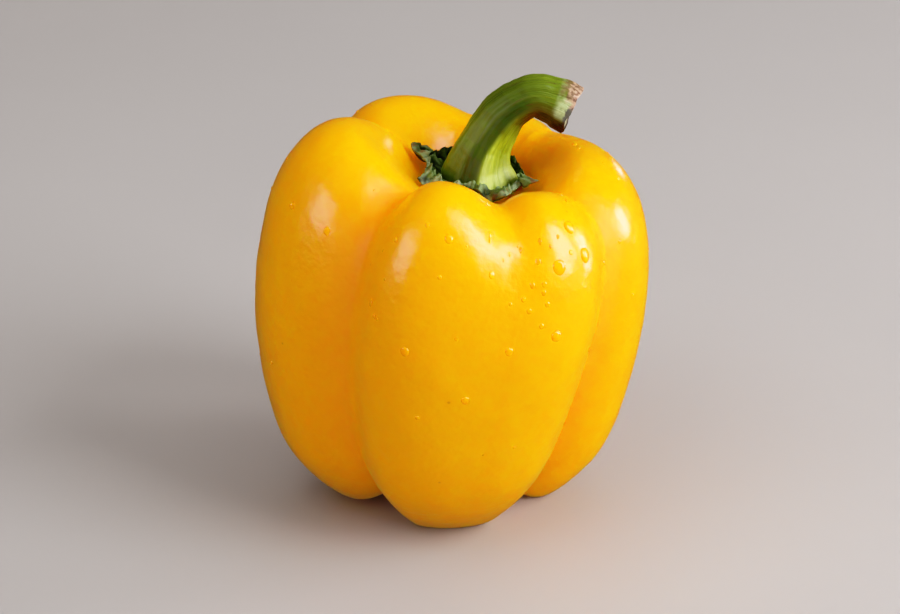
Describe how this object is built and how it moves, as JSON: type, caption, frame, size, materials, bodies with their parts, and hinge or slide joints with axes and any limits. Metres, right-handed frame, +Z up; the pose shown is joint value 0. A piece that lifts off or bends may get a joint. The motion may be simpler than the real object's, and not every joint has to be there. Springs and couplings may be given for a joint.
{
  "type": "bell pepper",
  "caption": "Blocky yellow bell pepper with deep creases between its lobes, a sunken top, a ragged dark green calyx and a thick curved green stem with a cut end",
  "frame": {"origin": "the point on the resting surface under the middle of the pepper's width and depth", "axes": "+Z up, along the pepper's height; +X to the side that the stem bends to; -Y the front"},
  "size_m": [0.088, 0.0866, 0.1018],
  "materials": {
    "skin": "glossy waxy yellow pepper skin, slightly mottled",
    "calyx": "dry crinkled dark green sepals with pale edges",
    "stem": "ribbed satin green stalk with a pale corky cut end"
  },
  "bodies": {
    "root": {"fruit": "skin", "calyx": "calyx", "stem": "stem"}
  },
  "joints": []
}
